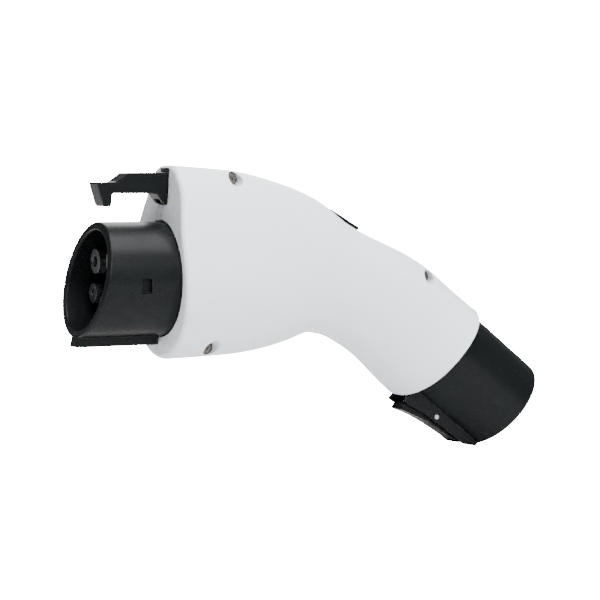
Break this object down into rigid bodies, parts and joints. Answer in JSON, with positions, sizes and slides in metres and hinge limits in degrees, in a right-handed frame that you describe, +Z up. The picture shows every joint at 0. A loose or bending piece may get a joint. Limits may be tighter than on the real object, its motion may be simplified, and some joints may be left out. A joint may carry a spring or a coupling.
{
  "type": "vehicle charging coupler",
  "caption": "Pistol-shaped charging coupler: white two-half shell, black plug nose with latch, thumb button, and a round pin inlet with a lock lever at the tail.",
  "frame": {"origin": "on the nose axis, in the middle of the slanted mouth", "axes": "+X rearward along the nose axis, +Z up towards the latch, Y = 0 the mid-plane where the shell halves meet"},
  "size_m": [0.2014, 0.0534, 0.1149],
  "materials": {
    "shell_white": "satin",
    "black_plastic": "satin",
    "carrier_black": "satin",
    "contact_metal": "plated",
    "steel": "satin",
    "rubber_black": "matte",
    "switch_plastic": "satin",
    "plunger_red": "gloss",
    "board_green": "gloss",
    "wire_brown": "satin",
    "wire_blue": "satin",
    "wire_green": "satin",
    "wire_orange": "satin",
    "wire_violet": "satin"
  },
  "bodies": {
    "handle": {"left_shell": "shell_white", "right_shell": "shell_white", "shell_screws": "steel", "nose_housing": "black_plastic", "nose_seal": "rubber_black", "nose_carrier": "carrier_black", "carrier_screws": "steel", "line_socket": "contact_metal", "neutral_socket": "contact_metal", "ground_socket": "contact_metal", "pilot_socket": "contact_metal", "proximity_socket": "contact_metal", "latch_pin": "steel", "latch_spring": "steel", "switch_body": "switch_plastic", "resistor_board": "board_green", "line_wire": "wire_brown", "neutral_wire": "wire_blue", "ground_wire": "wire_green", "pilot_wire": "wire_orange", "proximity_wire": "wire_violet", "inlet_collar": "black_plastic", "inlet_carrier": "carrier_black", "inlet_screws": "steel", "inlet_line_pin": "contact_metal", "inlet_neutral_pin": "contact_metal", "inlet_ground_pin": "contact_metal", "inlet_pilot_pin": "contact_metal", "inlet_proximity_pin": "contact_metal", "inlet_seal": "rubber_black", "lever_pin": "steel", "lever_spring": "steel"},
    "latch": {"latch_arm": "black_plastic"},
    "button": {"thumb_button": "black_plastic"},
    "plunger": {"switch_plunger": "plunger_red"},
    "lever": {"lock_lever": "black_plastic"}
  },
  "joints": [
    {"name": "latch_lift", "type": "hinge", "parent": "handle", "child": "latch", "pos_m": [0.048, 0, 0.033], "axis": [0, 1, 0], "range_deg": [0, 4.5], "stiffness_Nm_per_rad": 6, "springref_deg": -2.86, "deforming": ["latch_spring"]},
    {"name": "button_press", "type": "slide", "parent": "handle", "child": "button", "axis": [-0.503, 0, -0.8643], "range_m": [0, 0.0044]},
    {"name": "plunger_travel", "type": "slide", "parent": "handle", "child": "plunger", "axis": [0, 0, -1], "range_m": [0, 0.0015]},
    {"name": "lever_press", "type": "hinge", "parent": "handle", "child": "lever", "pos_m": [0.15077, 0, -0.05907], "axis": [0, 1, 0], "range_deg": [0, 6], "stiffness_Nm_per_rad": 0.6, "springref_deg": -4.58, "deforming": ["lever_spring"]}
  ],
  "couplings": [
    {"joint": "button_press", "follows": "latch_lift", "m_per_rad": 0.055},
    {"joint": "plunger_travel", "follows": "latch_lift", "m_per_rad": 0.018}
  ]
}
